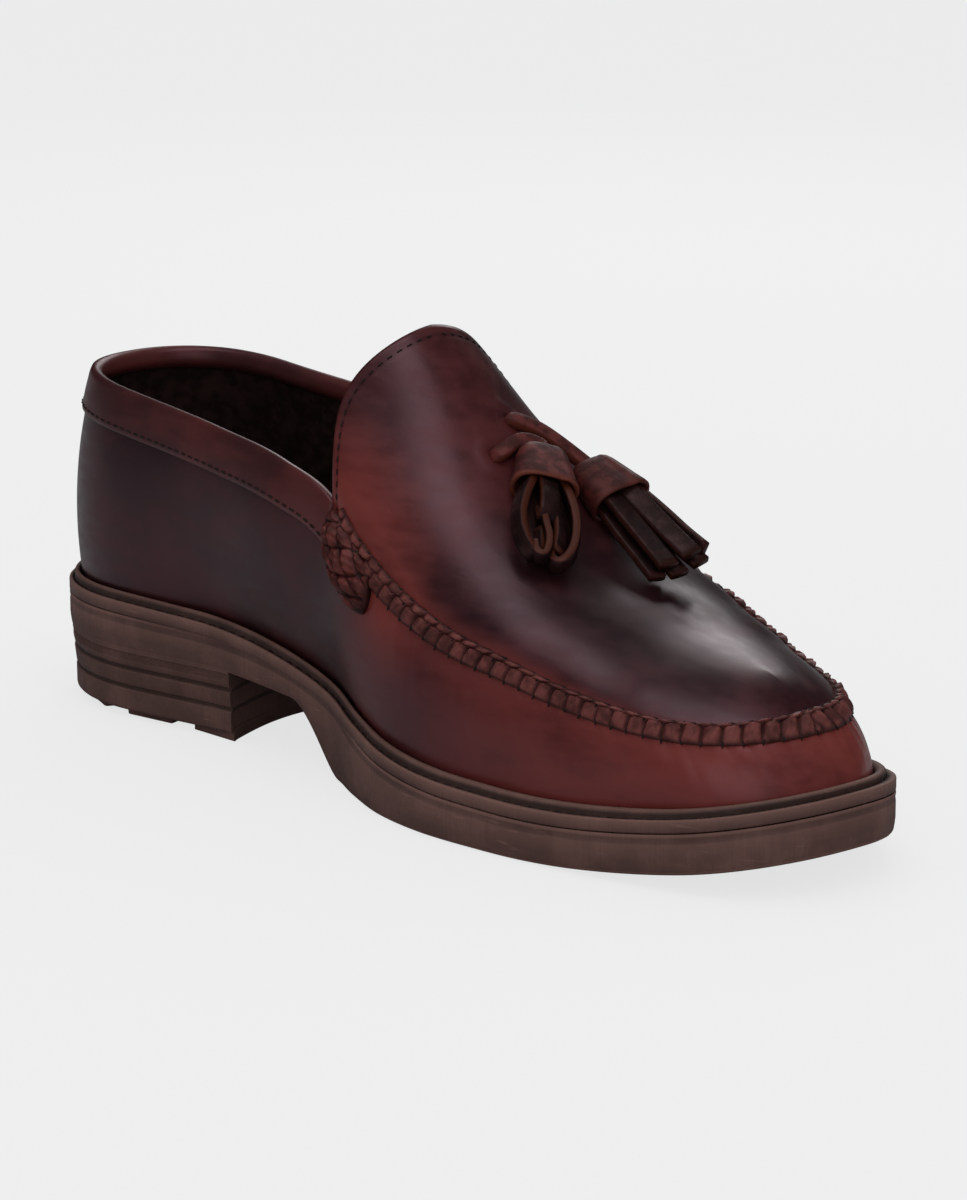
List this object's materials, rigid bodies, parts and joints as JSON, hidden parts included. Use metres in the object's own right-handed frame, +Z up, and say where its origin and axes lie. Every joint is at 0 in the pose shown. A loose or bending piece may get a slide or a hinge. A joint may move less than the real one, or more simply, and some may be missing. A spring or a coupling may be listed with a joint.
{
  "type": "tassel loafer",
  "caption": "Left slip-on leather shoe with a hand-sewn moc apron, rolled seam ends, hanging tassels and a welted rubber sole with a low block heel.",
  "frame": {"origin": "on the floor under the middle of the shoe's bounding box", "axes": "+X from heel to toe, +Y to the wearer's left, which is the outer side of this shoe, +Z up"},
  "size_m": [0.296, 0.1094, 0.1203],
  "materials": {
    "sole_rubber": "matte dark brown moulded rubber",
    "welt_rubber": "satin dark brown moulded rubber",
    "upper_leather": "polished burgundy brown leather",
    "trim_leather": "red brown leather, less polished",
    "lining_leather": "dark smooth lining"
  },
  "bodies": {
    "root": {"outsole": "sole_rubber", "welt": "welt_rubber", "upper": "upper_leather", "insole": "lining_leather", "moc_seam": "trim_leather", "collar_band": "trim_leather", "beefroll_medial": "trim_leather", "beefroll_lateral": "trim_leather", "tassel_near": "trim_leather", "tassel_far": "trim_leather", "tassel_thong": "trim_leather"}
  },
  "joints": []
}
